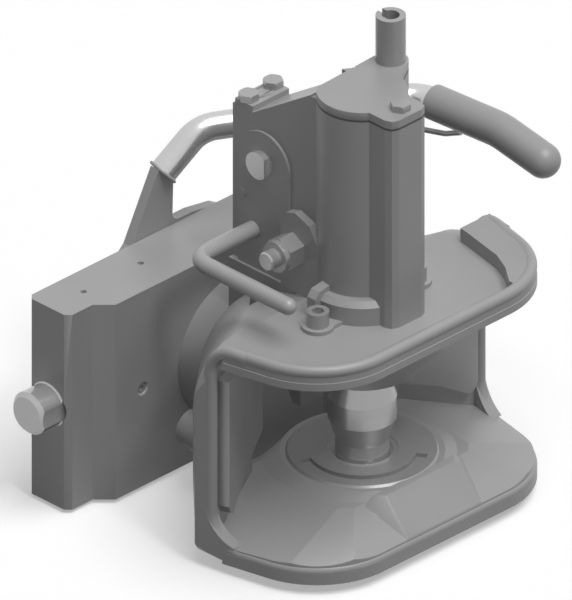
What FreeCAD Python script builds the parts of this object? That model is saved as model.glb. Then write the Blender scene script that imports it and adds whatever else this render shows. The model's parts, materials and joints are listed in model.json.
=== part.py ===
import FreeCAD, Part
import math
import os

import Sketcher
from FreeCAD import Placement, Rotation, Vector

# Automatic trailer coupler of a tractor: a cast funnel jaw that swivels in a height-adjustable slider.
# Frame: X to the right of the vehicle, Y forward to the tractor, Z up. The jaw opens towards -Y.
# The origin is where the coupling pin's upright axis meets the swivel axis. All lengths are millimetres.

os.makedirs("parts", exist_ok=True)
doc = FreeCAD.newDocument("trailer_coupler")
sheet = doc.addObject("Spreadsheet::Sheet", "Sizes")

DRIVING_SIZES = {
    # slider plate that runs between the rails of the ladder frame
    "slider_width": 303, "slider_height": 156, "slider_end_half": 20, "slider_step": 11.3,
    "slider_strip": 24, "slider_corner": 4.2, "shank_bore_radius": 34,
    "recess_radius": 46, "recess_depth": 3, "hub_radius": 57, "hub_height": 11,
    "hub_groove_depth": 2, "ring_thick": 2, "grease_hole_radius": 2.2,
    "grease_hole_outer": 119, "grease_hole_inner": 63, "grease_hole_shift": 2.6,
    # locking pins and the lever that draws them in
    "lock_radius": 17, "lock_nose_radius": 16, "lock_axis_depth": 156.8, "lock_reach": 20.7,
    "lock_tail": 28.8, "lock_flat": 1.5, "lock_chamfer": 3, "lock_bore_end": 48, "lock_travel": 24,
    "lock_swing": 25, "stud_shy": 1.7,
    "lock_spring_pocket": 20, "lock_spring_bore": 9, "lock_spring_wire": 2,
    "guide_screw_place": 89.6, "guide_screw_radius": 4, "stud_radius": 6, "stud_place": 101,
    "lever_plate_thick": 8, "handle_radius": 10, "handle_wall": 2.5, "grip_radius": 12.7,
    "bail_radius": 2,
    # coupling pin
    "barrel_radius": 24.25, "barrel_low": -5.8, "barrel_high": 11, "pin_foot_radius": 19,
    "pin_foot_top": -22.6, "pin_foot_end": -60, "pin_neck_radius": 20, "pin_neck_low": 24,
    "pin_neck_high": 34, "pin_top": 154,
    # jaw
    "jaw_front_half": 62.3, "jaw_corner_radius": 64.5, "jaw_corner_y": -18, "jaw_side_angle": 12.7,
    "jaw_back": 26, "lip_bottom": -72.7, "lip_front_top": -59, "lip_rim": 7, "seat_level": -41,
    "upper_lip_low": 82.4, "upper_lip_high": 100, "tray_floor": 88,
    "flange_radius": 55.4, "flange_thick": 21.2, "neck_radius": 49, "throat_half": 56,
    "throat_back": 74, "guide_boss_radius": 40, "guide_boss_low": 36,
    "shank_radius": 30, "shank_thread_radius": 21, "shank_thread_length": 32, "friction_thick": 4,
    "washer_thick": 6, "bush_gap": 2,
    # wear parts
    "disc_radius": 53.5, "disc_top": -33, "lower_bush_radius": 25.5, "upper_bush_radius": 29.5,
    "wear_plate_thick": 8.3, "wear_plate_turn": 21.4,
    # mechanism housing
    "tower_radius": 32, "tower_top": 246, "box_left": -22, "box_right": 14, "box_wall": 6,
    "box_back": 105, "box_roof_low": 210, "box_roof_back": 85, "nose_left": -19, "nose_right": 17,
    "nose_front": -48, "cover_thick": 6, "gasket_thick": 1.7, "lid_thick": 4.5,
    "tube_radius": 10.6, "tube_bore_radius": 6.3, "tube_height": 36, "tube_x": 43.6, "tube_y": 15.8,
    "wing_radius": 12.5,
    # lifting gear
    "lift_y": 75, "lift_z": 174, "lift_shaft_radius": 10.35, "lift_swing": 31, "lift_arm_half": 4,
    "lift_tip_radius": 7, "hand_y": 83, "hand_z": 118.5, "rod_radius": 6.2, "rod_reach": 83,
    "rod_front": -10, "rod_bend": 14, "link_arm": 22, "link_thick": 3, "link_pin_radius": 4,
    "trigger_y": 40, "trigger_z": 122, "trigger_stud_radius": 7.1, "trigger_nut_length": 18,
    "trigger_stud_end": -55, "boss_face": -28, "trigger_tip_y": 39,
    "running_fit": 0.1, "loose_fit": 0.3,
    # fasteners
    "m8_radius": 4, "m8_head_flats": 13, "m8_head_height": 5.3, "m10_radius": 5,
    "m10_head_radius": 8, "m10_head_height": 11,
}

for row, (alias, number) in enumerate(DRIVING_SIZES.items(), start=1):
    sheet.set(f"A{row}", alias.replace("_", " "))
    sheet.set(f"B{row}", str(number))
    sheet.setAlias(f"B{row}", alias)
doc.recompute()


class Reader:
    """Gives a driving size by its alias, as in S.lock_radius."""

    def __getattr__(self, alias):
        return float(sheet.get(alias))


S = Reader()
PIECES = []

TO_Y = Rotation(Vector(1, 0, 0), -90)
TO_X = Rotation(Vector(0, 1, 0), 90)
UPRIGHT = Rotation()
OVERLAP = 1


def keep(thing, label):
    """Names a finished sub-part and lists it for export."""
    thing.Label = label
    PIECES.append(thing)
    return thing


def shape_piece(label, shape):
    """A sub-part whose form is worked out with solid geometry."""
    thing = doc.addObject("Part::Feature", label)
    refined = shape.removeSplitter()
    thing.Shape = refined if refined.isValid() else shape
    return keep(thing, label)


def bind(thing, **formulas):
    """Binds properties to formulas on the sheet."""
    for name, formula in formulas.items():
        thing.setExpression(name, formula)


def origin_plane(body, role):
    return next(item for item in body.Origin.OriginFeatures if item.Role == role)


def sketch_on(body, role, edges):
    sketch = body.newObject("Sketcher::SketchObject", body.Name + "_profile")
    sketch.AttachmentSupport = [(origin_plane(body, role), "")]
    sketch.MapMode = "FlatFace"
    for edge in edges:
        sketch.addGeometry(edge, False)
    return sketch


def lines_through(points):
    """Closed run of straight edges through pairs, as sketch geometry."""
    corners = [Vector(a, b, 0) for a, b in points]
    after = corners[1:] + corners[:1]
    return [Part.LineSegment(start, end) for start, end in zip(corners, after)]


def turned(label, profile, place=None):
    """A turned sub-part: profile is (radius, height) pairs, spun about the upright axis."""
    body = doc.addObject("PartDesign::Body", label)
    sketch = sketch_on(body, "XZ_Plane", lines_through(profile))
    spin = body.newObject("PartDesign::Revolution", label + "_turning")
    spin.Profile = sketch
    spin.ReferenceAxis = (sketch, ["V_Axis"])
    spin.Angle = 360
    body.Tip = spin
    if place is not None:
        body.Placement = place
    return keep(body, label)


def circle_sketch(body, x, y, radius):
    """Sketch of one circle whose radius is bound to a formula."""
    sketch = sketch_on(body, "XY_Plane", [Part.Circle(Vector(x, y, 0), Vector(0, 0, 1), 1)])
    sketch.addConstraint(Sketcher.Constraint("Radius", 0, 1))
    sketch.setExpression("Constraints[0]", radius)
    return sketch


def disc(label, outer, inner, thick, place):
    """A flat ring: outer and inner radius and thickness as formulas, axis along its own Z."""
    body = doc.addObject("PartDesign::Body", label)
    pad = body.newObject("PartDesign::Pad", label + "_pad")
    pad.Profile = circle_sketch(body, 0, 0, outer)
    bind(pad, Length=thick)
    body.Tip = pad
    pocket = body.newObject("PartDesign::Pocket", label + "_bore")
    pocket.Profile = circle_sketch(body, 0, 0, inner)
    pocket.Type = "ThroughAll"
    pocket.Reversed = True
    body.Tip = pocket
    body.Placement = place
    return keep(body, label)


def rod(radius, start, end):
    """Plain solid cylinder between two points."""
    along = Vector(*end) - Vector(*start)
    return Part.makeCylinder(radius, along.Length, Vector(*start), along)


def slab(x0, x1, y0, y1, z0, z1):
    low = Vector(min(x0, x1), min(y0, y1), min(z0, z1))
    return Part.makeBox(abs(x1 - x0), abs(y1 - y0), abs(z1 - z0), low)


def polygon_face(corners):
    return Part.Face(Part.makePolygon(corners + corners[:1]))


def prism(points, z0, z1):
    """Upright prism over a closed outline of (x, y) pairs."""
    return polygon_face([Vector(x, y, z0) for x, y in points]).extrude(Vector(0, 0, z1 - z0))


def side_prism(points, x0, x1):
    """Prism along X over a closed outline of (y, z) pairs."""
    return polygon_face([Vector(x0, y, z) for y, z in points]).extrude(Vector(x1 - x0, 0, 0))


def front_prism(points, y0, y1):
    """Prism along Y over a closed outline of (x, z) pairs."""
    return polygon_face([Vector(x, y0, z) for x, z in points]).extrude(Vector(0, y1 - y0, 0))


def hexagon(across_flats, height):
    corner = across_flats / math.sqrt(3)
    turns = [math.radians(60 * k) for k in range(6)]
    return prism([(corner * math.cos(t), corner * math.sin(t)) for t in turns], 0, height)


def placed(shape, x, y, z, turn=UPRIGHT):
    copy = shape.copy()
    copy.Placement = Placement(Vector(x, y, z), turn)
    return copy


def spring(mean_radius, wire, length, turns, place):
    """Open coil spring along its own Z, from 0 to length."""
    rise = (length - wire) / turns
    helix = Part.makeHelix(rise, length - wire, mean_radius)
    helix.translate(Vector(0, 0, wire / 2))
    section = Part.Wire(Part.makeCircle(wire / 2, Vector(mean_radius, 0, wire / 2), Vector(0, 1, 0)))
    coil = Part.Wire(helix).makePipeShell([section], True, True)
    coil.Placement = place
    return coil


# Slider plate

half_width = S.slider_width / 2
half_height = S.slider_height / 2
strip_inner = half_width - S.slider_strip
end_front = S.lock_axis_depth - S.slider_end_half
slider_rear = S.lock_axis_depth + S.slider_end_half
slider_front = end_front - S.slider_step
recess_floor = slider_rear - S.recess_depth
shank_shoulder = recess_floor + S.friction_thick
flange_front = slider_front - S.flange_thick
grease_depth = S.lock_axis_depth - S.grease_hole_shift
hub_face = slider_rear + S.hub_height
PLATE_GAP = 0.3
plate_front = slider_rear + PLATE_GAP
plate_rear = plate_front + S.lever_plate_thick


def slider_plate():
    """Milled plate with a thicker middle, a bore for the shank and a blind bore for each locking pin."""
    right = [(strip_inner - S.slider_step, slider_front), (strip_inner, end_front),
             (half_width - S.slider_corner, end_front), (half_width, end_front + S.slider_corner),
             (half_width, slider_rear - S.slider_corner), (half_width - S.slider_corner, slider_rear)]
    left = [(-x, y) for x, y in reversed(right)]
    body = prism(right + left, -half_height, half_height)
    body = body.fuse(rod(S.hub_radius, (0, slider_rear - OVERLAP, 0), (0, hub_face, 0)))
    groove_outer = rod(S.hub_radius + OVERLAP, (0, plate_rear + PLATE_GAP, 0),
                       (0, plate_rear + PLATE_GAP + S.ring_thick + 0.2, 0))
    groove_inner = rod(S.hub_radius - S.hub_groove_depth, (0, slider_rear, 0), (0, hub_face, 0))
    body = body.cut(groove_outer.cut(groove_inner))
    body = body.cut(rod(S.shank_bore_radius, (0, slider_front - OVERLAP, 0), (0, hub_face + OVERLAP, 0)))
    body = body.cut(rod(S.recess_radius, (0, recess_floor, 0), (0, hub_face + OVERLAP, 0)))
    for side in (-1, 1):
        body = body.cut(rod(S.lock_radius + S.running_fit, (side * S.lock_bore_end, S.lock_axis_depth, 0),
                            (side * (half_width + OVERLAP), S.lock_axis_depth, 0)))
        slot_half = S.stud_radius + S.loose_fit
        inner = side * (S.stud_place - S.lock_travel)
        outer = side * S.stud_place
        slot = slab(inner, outer, S.lock_axis_depth, slider_rear + OVERLAP, -slot_half, slot_half)
        for end in (inner, outer):
            slot = slot.fuse(rod(slot_half, (end, S.lock_axis_depth, 0), (end, slider_rear + OVERLAP, 0)))
        body = body.cut(slot)
        at = side * S.guide_screw_place
        body = body.cut(rod(S.guide_screw_radius + S.running_fit, (at, slider_front - OVERLAP, 0),
                            (at, S.lock_axis_depth, 0)))
        body = body.cut(Part.makeCone(S.guide_screw_radius + 1.3, S.guide_screw_radius, 1.3,
                                      Vector(at, slider_front, 0), Vector(0, 1, 0)))
        for place in (S.grease_hole_inner, S.grease_hole_outer):
            body = body.cut(rod(S.grease_hole_radius, (side * place, grease_depth, half_height + OVERLAP),
                                (side * place, grease_depth, S.lock_radius / 2)))
    return body


shape_piece("slider_plate", slider_plate())

# Swivel bearing: two bushes in the plate, a friction disc and the clamp washer under the castle nut

bush_length = (recess_floor - slider_front - S.bush_gap) / 2
for label, start in (("front_swivel_bush", slider_front),
                     ("rear_swivel_bush", recess_floor - bush_length)):
    disc(label, "Sizes.shank_bore_radius - Sizes.running_fit / 2", "Sizes.shank_radius + Sizes.running_fit",
         "(2 * Sizes.slider_end_half + Sizes.slider_step - Sizes.recess_depth - Sizes.bush_gap) / 2",
         Placement(Vector(0, start, 0), TO_Y))

disc("friction_disc", "Sizes.recess_radius - Sizes.loose_fit", "Sizes.shank_radius + Sizes.loose_fit",
     "Sizes.friction_thick", Placement(Vector(0, recess_floor, 0), TO_Y))
disc("clamp_washer", "Sizes.recess_radius - 2", "Sizes.shank_thread_radius + Sizes.running_fit",
     "Sizes.washer_thick", Placement(Vector(0, shank_shoulder, 0), TO_Y))

NUT_HEIGHT = 20
NUT_FLATS = 65
SLOT_WIDTH = 7
SLOT_DEPTH = 8
nut_seat = shank_shoulder + S.washer_thick
slot_middle = nut_seat + NUT_HEIGHT - SLOT_DEPTH / 2


def castle_nut():
    """Castle nut of the shank, with three slots across its outer end."""
    nut = hexagon(NUT_FLATS, NUT_HEIGHT)
    crown = Part.makeCone(NUT_FLATS / 2 + 9, NUT_FLATS / 2 - 1, NUT_HEIGHT)
    nut = nut.common(crown).cut(Part.makeCylinder(S.shank_thread_radius + S.running_fit, NUT_HEIGHT))
    for turn in (0, 60, 120):
        slot = slab(-NUT_FLATS, NUT_FLATS, -SLOT_WIDTH / 2, SLOT_WIDTH / 2,
                    NUT_HEIGHT - SLOT_DEPTH, NUT_HEIGHT + OVERLAP)
        slot.rotate(Vector(), Vector(0, 0, 1), turn)
        nut = nut.cut(slot)
    return placed(nut, 0, nut_seat, 0, TO_Y)


shape_piece("castle_nut", castle_nut())

SPLIT_PIN_RADIUS = 3
split_pin = rod(SPLIT_PIN_RADIUS, (-NUT_FLATS / 2 - 4, slot_middle, 0), (NUT_FLATS / 2 + 6, slot_middle, 0))
split_eye = Part.makeSphere(SPLIT_PIN_RADIUS + 1.5, Vector(-NUT_FLATS / 2 - 4, slot_middle, 0))
split_pin = split_pin.fuse(split_eye)
shape_piece("split_pin", split_pin)

# Lever plate behind the slider: two spiral slots draw the locking pins in as it turns

HORN_HALF = 10.8
horn_foot = Vector(-14.2, plate_front + S.lever_plate_thick / 2, 119.8)
horn_heading = Vector(0.73, -0.18, 0.66).normalize()
horn_across = Vector(horn_heading.z, 0, -horn_heading.x).normalize()
HORN_GAP = 1.2


def cam_slot(turn):
    """Archimedean slot: its radius falls by the pins' travel while the plate turns by its full swing."""
    half = S.stud_radius + S.loose_fit
    steps = 8
    middle, inner, outer = [], [], []
    fall = S.lock_travel / math.radians(S.lock_swing)
    for k in range(steps + 1):
        angle = math.radians(S.lock_swing) * k / steps
        radius = S.stud_place - fall * angle
        heading = math.atan2(radius, -fall) + angle
        spot = Vector(radius * math.cos(angle), 0, radius * math.sin(angle))
        across = Vector(-math.sin(heading), 0, math.cos(heading)) * half
        middle.append(spot)
        inner.append(spot + across)
        outer.append(spot - across)
    curves = []
    for points in (inner, outer):
        curve = Part.BSplineCurve()
        curve.interpolate(points)
        curves.append(curve.toShape())
    caps = [Part.makeLine(inner[0], outer[0]), Part.makeLine(inner[-1], outer[-1])]
    wire = Part.Wire(Part.__sortEdges__(curves + caps))
    slot = Part.Face(wire).extrude(Vector(0, S.lever_plate_thick + 2 * OVERLAP, 0))
    for end in (middle[0], middle[-1]):
        slot = slot.fuse(Part.makeCylinder(half, S.lever_plate_thick + 2 * OVERLAP, end, Vector(0, 1, 0)))
    slot.translate(Vector(0, plate_front - OVERLAP, 0))
    slot.rotate(Vector(), Vector(0, 1, 0), turn)
    return slot


def lever_plate():
    """Flat plate on the hub: an arm to each locking pin and a slanted horn that carries the handle."""
    tip = horn_foot - horn_heading * HORN_GAP
    horn_left = tip - horn_across * HORN_HALF
    horn_right = tip + horn_across * HORN_HALF
    top = half_height + 1
    arm = S.stud_place + S.stud_radius + 11
    outline = [(-49.3, top - 3), (horn_left.x, horn_left.z), (horn_right.x, horn_right.z),
               (-8.6, top + 6), (-7, top + 3), (-3, top + 1), (10, top + 1), (34, top - 3),
               (72, 54), (arm, 40), (arm + 3, -14), (72, -52), (32, -76),
               (-32, -76), (-72, -54), (-arm, -40), (-arm - 3, 14), (-76, 50)]
    body = front_prism(outline, plate_front, plate_rear)
    bearing = rod(S.hub_radius + S.running_fit, (0, plate_front - OVERLAP, 0), (0, plate_rear + OVERLAP, 0))
    body = body.cut(bearing)
    for turn in (0, 180):
        body = body.cut(cam_slot(turn))
    return body


shape_piece("lever_plate", lever_plate())
ring_place = plate_rear + PLATE_GAP + 0.1
disc("retaining_ring", "Sizes.hub_radius + 5",
     "Sizes.hub_radius - Sizes.hub_groove_depth + Sizes.running_fit", "Sizes.ring_thick",
     Placement(Vector(0, ring_place, 0), TO_Y))

# Locking pins with their drive studs, springs and guide screws


def locking_pin(side):
    """Round bar with a thinner chamfered nose, a flat for the guide screw and a pocket for its spring."""
    tip = half_width + S.lock_reach
    tail = S.stud_place - S.lock_tail
    along_pin = Vector(1, 0, 0)
    step = S.lock_radius - S.lock_nose_radius
    nose_end = tip - S.lock_chamfer
    pin = rod(S.lock_radius, (tail, S.lock_axis_depth, 0), (half_width, S.lock_axis_depth, 0))
    shoulder = Part.makeCone(S.lock_radius, S.lock_nose_radius, step,
                             Vector(half_width, S.lock_axis_depth, 0), along_pin)
    nose = rod(S.lock_nose_radius, (half_width, S.lock_axis_depth, 0), (nose_end, S.lock_axis_depth, 0))
    point = Part.makeCone(S.lock_nose_radius, S.lock_nose_radius - S.lock_chamfer, S.lock_chamfer,
                          Vector(nose_end, S.lock_axis_depth, 0), along_pin)
    pin = pin.fuse([shoulder, nose, point])
    flat_face = S.lock_axis_depth - S.lock_nose_radius + S.lock_flat
    pin = pin.cut(slab(tail - OVERLAP, tip + OVERLAP, flat_face - S.lock_radius, flat_face,
                       -S.lock_radius, S.lock_radius))
    pin = pin.cut(rod(S.lock_spring_bore, (tail - OVERLAP, S.lock_axis_depth, 0),
                      (tail + S.lock_spring_pocket, S.lock_axis_depth, 0)))
    pin = pin.cut(rod(S.stud_radius + S.running_fit / 2, (S.stud_place, S.lock_axis_depth - 2, 0),
                      (S.stud_place, S.lock_axis_depth + S.lock_radius + OVERLAP, 0)))
    if side < 0:
        pin = pin.mirror(Vector(), Vector(1, 0, 0))
    return pin


spring_room = S.stud_place - S.lock_tail + S.lock_spring_pocket - S.lock_bore_end
for side, name in ((-1, "left"), (1, "right")):
    shape_piece(name + "_locking_pin", locking_pin(side))
    stud = doc.addObject("Part::Cylinder", name + "_drive_stud")
    bind(stud, Radius="Sizes.stud_radius",
         Height="Sizes.stud_shy + Sizes.slider_end_half + Sizes.lever_plate_thick - 0.7")
    stud.Placement = Placement(Vector(side * S.stud_place, S.lock_axis_depth - S.stud_shy, 0), TO_Y)
    keep(stud, name + "_drive_stud")
    coil = spring(S.lock_spring_bore - 2.2, S.lock_spring_wire, spring_room - 0.6, 5,
                  Placement(Vector(side * (S.lock_bore_end + 0.3), S.lock_axis_depth, 0),
                            Rotation(Vector(0, 1, 0), 90 * side)))
    shape_piece(name + "_lock_spring", coil)


def guide_screw(side):
    """Set screw whose point rides in the flat of the locking pin."""
    face = slider_front + 1.3
    point = S.lock_axis_depth - S.lock_nose_radius + S.lock_flat - 0.2
    at = side * S.guide_screw_place
    screw = rod(S.guide_screw_radius, (at, face, 0), (at, point, 0))
    socket = placed(hexagon(4, 4.5), at, face - 0.5, 0, TO_Y)
    return screw.cut(socket)


shape_piece("guide_screws", Part.makeCompound([guide_screw(-1), guide_screw(1)]))

# Handle: bent tube from the horn, behind the housing and forward on the right, with its grip


def rounded_path(points, radii):
    """Open wire of straight runs joined by tangent arcs."""
    edges = []
    start = points[0]
    for corner, after, radius in zip(points[1:-1], points[2:], radii):
        back = (start - corner).normalize()
        ahead = (after - corner).normalize()
        turn = math.pi - back.getAngle(ahead)
        cut = radius * math.tan(turn / 2)
        first = corner + back * cut
        last = corner + ahead * cut
        bisector = (back + ahead).normalize()
        centre = corner + bisector * (radius / math.cos(turn / 2))
        middle = centre - bisector * radius
        edges.append(Part.makeLine(start, first))
        edges.append(Part.Arc(first, middle, last).toShape())
        start = last
    edges.append(Part.makeLine(start, points[-1]))
    return Part.Wire(edges)


def pipe_along(wire, radius):
    """Solid bar of round section along a wire."""
    start = wire.Edges[0].valueAt(wire.Edges[0].FirstParameter)
    heading = wire.Edges[0].tangentAt(wire.Edges[0].FirstParameter)
    section = Part.Wire(Part.makeCircle(radius, start, heading))
    solid = wire.makePipeShell([section], True, False)
    return solid if solid.Volume > 0 else solid.reversed()


handle_rear_corner = Vector(14.7, plate_front - 2.8, 145.9)
handle_side_corner = Vector(153, 97, 147)
grip_bend_point = Vector(159, 24, 147)
grip_end_point = Vector(160, -17, 139)
grip_heading = (grip_bend_point - handle_side_corner).normalize()
grip_start = handle_side_corner + grip_heading * 13
tube_start = horn_foot + horn_heading * 0.2


def handle_tube():
    tube_end = grip_bend_point - grip_heading * 7
    path = rounded_path([tube_start, handle_rear_corner, handle_side_corner, tube_end], [28, 22])
    whole = pipe_along(path, S.handle_radius)
    return whole.cut(pipe_along(path, S.handle_radius - S.handle_wall))


def grip_sleeve():
    """Plastic sleeve over the tube's end, with a gentle bend and a domed tip."""
    path = rounded_path([grip_start, grip_bend_point, grip_end_point], [60])
    sleeve = pipe_along(path, S.grip_radius)
    dome = Part.makeSphere(S.grip_radius, grip_end_point, grip_end_point - grip_bend_point, 0, 90, 360)
    sleeve = sleeve.fuse(dome)
    inner = rounded_path([grip_start - grip_heading * OVERLAP, grip_bend_point, grip_end_point], [60])
    return sleeve.cut(pipe_along(inner, S.handle_radius + S.running_fit))


shape_piece("handle_tube", handle_tube())
shape_piece("handle_grip", grip_sleeve())

bail_points = [Vector(118, 115.1, 135.7), Vector(122, 110, 126), Vector(146, 91, 126), Vector(154, 73, 126),
               Vector(156.5, 60, 131.2)]
shape_piece("handle_bail", pipe_along(rounded_path(bail_points, [5, 10, 8]), S.bail_radius))

# Jaw casting

side_turn = math.radians(S.jaw_side_angle)


def lip_outline(level, inset, back):
    """Wire of the lips seen from above: straight front, a round corner each side, slanted sides."""
    radius = S.jaw_corner_radius - inset
    front = S.jaw_corner_y - radius
    half = S.jaw_front_half
    normal = Vector(math.cos(side_turn), -math.sin(side_turn), 0)
    along = Vector(math.sin(side_turn), math.cos(side_turn), 0)
    centre = Vector(half, S.jaw_corner_y, level)
    arc_start = Vector(half, front, level)
    arc_end = centre + normal * radius
    middle_turn = (math.pi / 2 + side_turn) / 2
    arc_middle = centre + Vector(math.cos(middle_turn), -math.sin(middle_turn), 0) * radius
    side_end = arc_end + along * ((back - arc_end.y) / along.y)

    def other(point):
        return Vector(-point.x, point.y, point.z)

    edges = [Part.makeLine(other(arc_start), arc_start),
             Part.Arc(arc_start, arc_middle, arc_end).toShape(),
             Part.makeLine(arc_end, side_end),
             Part.makeLine(side_end, other(side_end)),
             Part.makeLine(other(side_end), other(arc_end)),
             Part.Arc(other(arc_end), other(arc_middle), other(arc_start)).toShape()]
    return Part.Wire(edges)


LOWER_ROUND = 14


def lip_slab(low, high, inset, back):
    return Part.Face(lip_outline(low, inset, back)).extrude(Vector(0, 0, high - low))


def round_wire(level, radius, back):
    """Circle about the pin axis in six arcs that match the edges of a lip outline."""
    turns = [-122, -58, -12.7, 45, 135, 192.7, 238]
    angles = [math.radians(turn) for turn in turns]
    spots = [Vector(radius * math.cos(angle), radius * math.sin(angle), level) for angle in angles]
    edges = []
    for first, last, start, end in zip(turns, turns[1:], spots, spots[1:]):
        half_turn = math.radians((first + last) / 2)
        middle = Vector(radius * math.cos(half_turn), radius * math.sin(half_turn), level)
        edges.append(Part.Arc(start, middle, end).toShape())
    return Part.Wire(edges)


def square_section(y, half, low, high, upper, lower=LOWER_ROUND):
    """Rectangle in an XZ plane with its own corner radius above and below."""
    corners = [(half - lower, low + lower, lower, -90), (half - upper, high - upper, upper, 0),
               (upper - half, high - upper, upper, 90), (lower - half, low + lower, lower, 180)]
    arcs = []
    for x, z, radius, first in corners:
        turns = [math.radians(first + turn) for turn in (0, 45, 90)]
        arcs.append([Vector(x + radius * math.cos(t), y, z + radius * math.sin(t)) for t in turns])
    edges = []
    for arc, following in zip(arcs, arcs[1:] + arcs[:1]):
        edges.append(Part.Arc(*arc).toShape())
        edges.append(Part.makeLine(arc[2], following[0]))
    return Part.Wire(edges)


def round_section(y, radius, middle_z, spread):
    """Circle in an XZ plane, split where the rounded rectangle has its corners."""
    edges = []
    cuts = []
    for quarter in (-45, 45, 135, 225):
        cuts += [quarter - spread, quarter + spread]
    for first, last in zip(cuts, cuts[1:] + [cuts[0] + 360]):
        spots = [Vector(radius * math.cos(math.radians(t)), y, middle_z + radius * math.sin(math.radians(t)))
                 for t in (first, (first + last) / 2, last)]
        edges.append(Part.Arc(*spots).toShape())
    return Part.Wire(edges)


SHELL_SPREAD = 20
SIDE = 400
FRONT_EDGE = 17
SWEEP_RADIUS = 30
BEAD_RADIUS = 4.6
bead_high = S.upper_lip_high - BEAD_RADIUS
bead_low = S.lip_front_top - BEAD_RADIUS


def mouth_cut():
    """Side view of the mouth: the side walls' straight front edge sweeps forward into the lower lip."""
    low = S.lip_front_top
    bend = Vector(0, FRONT_EDGE - SWEEP_RADIUS, low + SWEEP_RADIUS)
    start = Vector(0, bend.y + SWEEP_RADIUS, bend.z)
    middle = bend + Vector(0, math.sqrt(0.5), -math.sqrt(0.5)) * SWEEP_RADIUS
    end = Vector(0, bend.y, low)
    front = Vector(0, -SIDE, low)
    above = Vector(0, -SIDE, S.upper_lip_low)
    top = Vector(0, FRONT_EDGE, S.upper_lip_low)
    edges = [Part.Arc(start, middle, end).toShape(), Part.makeLine(end, front), Part.makeLine(front, above),
             Part.makeLine(above, top), Part.makeLine(top, start)]
    cut = Part.Face(Part.Wire(edges)).extrude(Vector(SIDE, 0, 0))
    cut.translate(Vector(-SIDE / 2, 0, 0))
    return cut


plate_turn = math.radians(S.wear_plate_turn)
PLATE_OUTER = 122
PLATE_FRONT = 8.4
PLATE_LENGTH = 58
plate_along = Vector(-math.cos(plate_turn), math.sin(plate_turn), 0)
plate_normal = Vector(math.sin(plate_turn), math.cos(plate_turn), 0)
plate_start = Vector(PLATE_OUTER, PLATE_FRONT, 0)
wall_outer = plate_start + plate_normal * S.wear_plate_thick - plate_along * 1
wall_inner = plate_start + plate_normal * S.wear_plate_thick + plate_along * (PLATE_LENGTH + 0.5)


def throat_cut():
    """The space for the towing eye: wide in front, slanted behind the wear plates, narrow round the pin."""
    right = [(wall_outer.x, wall_outer.y), (wall_inner.x, wall_inner.y), (S.throat_half, 55),
             (36, S.throat_back)]
    left = [(-x, y) for x, y in reversed(right)]
    plan = prism(right + left, S.lip_front_top, S.upper_lip_low)
    return plan.fuse(lip_slab(S.lip_front_top, S.upper_lip_low, 2 * BEAD_RADIUS, FRONT_EDGE))


def funnel(level_out, inset, level_in, radius):
    """Ruled solid between a lip outline and a circle about the pin axis."""
    wires = [lip_outline(level_out, inset, 60), round_wire(level_in, radius, 0)]
    if level_in > level_out:
        return Part.makeLoft(wires, True, True)
    return Part.makeLoft(wires[::-1], True, True)


def rim_path(level, back):
    """Open wire along the middle of a lip's rounded rim, from one side round the front to the other."""
    edges = lip_outline(level, BEAD_RADIUS, back).Edges
    around = [edge for edge in edges if edge.CenterOfMass.y < back - 0.01]
    return Part.Wire(Part.__sortEdges__(around))


def wall_rim(side):
    """Rounded front edge of a side wall: it joins the rims of the two lips."""
    spots = [Vector(125.5, -14, bead_high), Vector(131.3, FRONT_EDGE, bead_high),
             Vector(131.3, FRONT_EDGE, bead_low), Vector(124.5, -14, bead_low)]
    path = rounded_path([Vector(side * p.x, p.y, p.z) for p in spots], [20, SWEEP_RADIUS * 0.9])
    return pipe_along(path, BEAD_RADIUS)


BOLT_X = 60
BOLT_Z = -36
BOLT_RADIUS = 8
BOLT_LENGTH = 24
BOLT_HEAD_RADIUS = 13.5
BOLT_HEAD_HEIGHT = 13.5
bolt_seat = flange_front - 6.3
PEDESTAL_RIGHT = 38
PEDESTAL_LEFT = -26
BACK_TOP = 88
FRONT_ROUND = 18
BACK_ROUND = 40
trigger_slot_half = 7.5
trigger_middle = -10.3


def jaw_envelope():
    """Outside of the casting as if it were filled: neck, shoulders and a box round the mouth."""
    low = S.lip_bottom
    sections = [round_section(flange_front - 2, S.neck_radius, 0, SHELL_SPREAD),
                square_section(flange_front - 20.3, 76, -58, 68, 46, 36),
                square_section(flange_front - 48.3, 110, -67, 80, 60, 30),
                square_section(S.jaw_back - 0.01, 137.5, low, BACK_TOP, BACK_ROUND)]
    rear = Part.makeLoft([square_section(4, 139, low, BACK_TOP, FRONT_ROUND),
                          square_section(S.jaw_back, 139, low, BACK_TOP, BACK_ROUND)], True, True)
    box = lip_slab(low, BACK_TOP, 0, S.jaw_back)
    front = slab(-SIDE, SIDE, -SIDE, 4, low, SIDE)
    return Part.makeLoft(sections, True, True).fuse([box.common(rear), box.common(front)])


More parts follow.
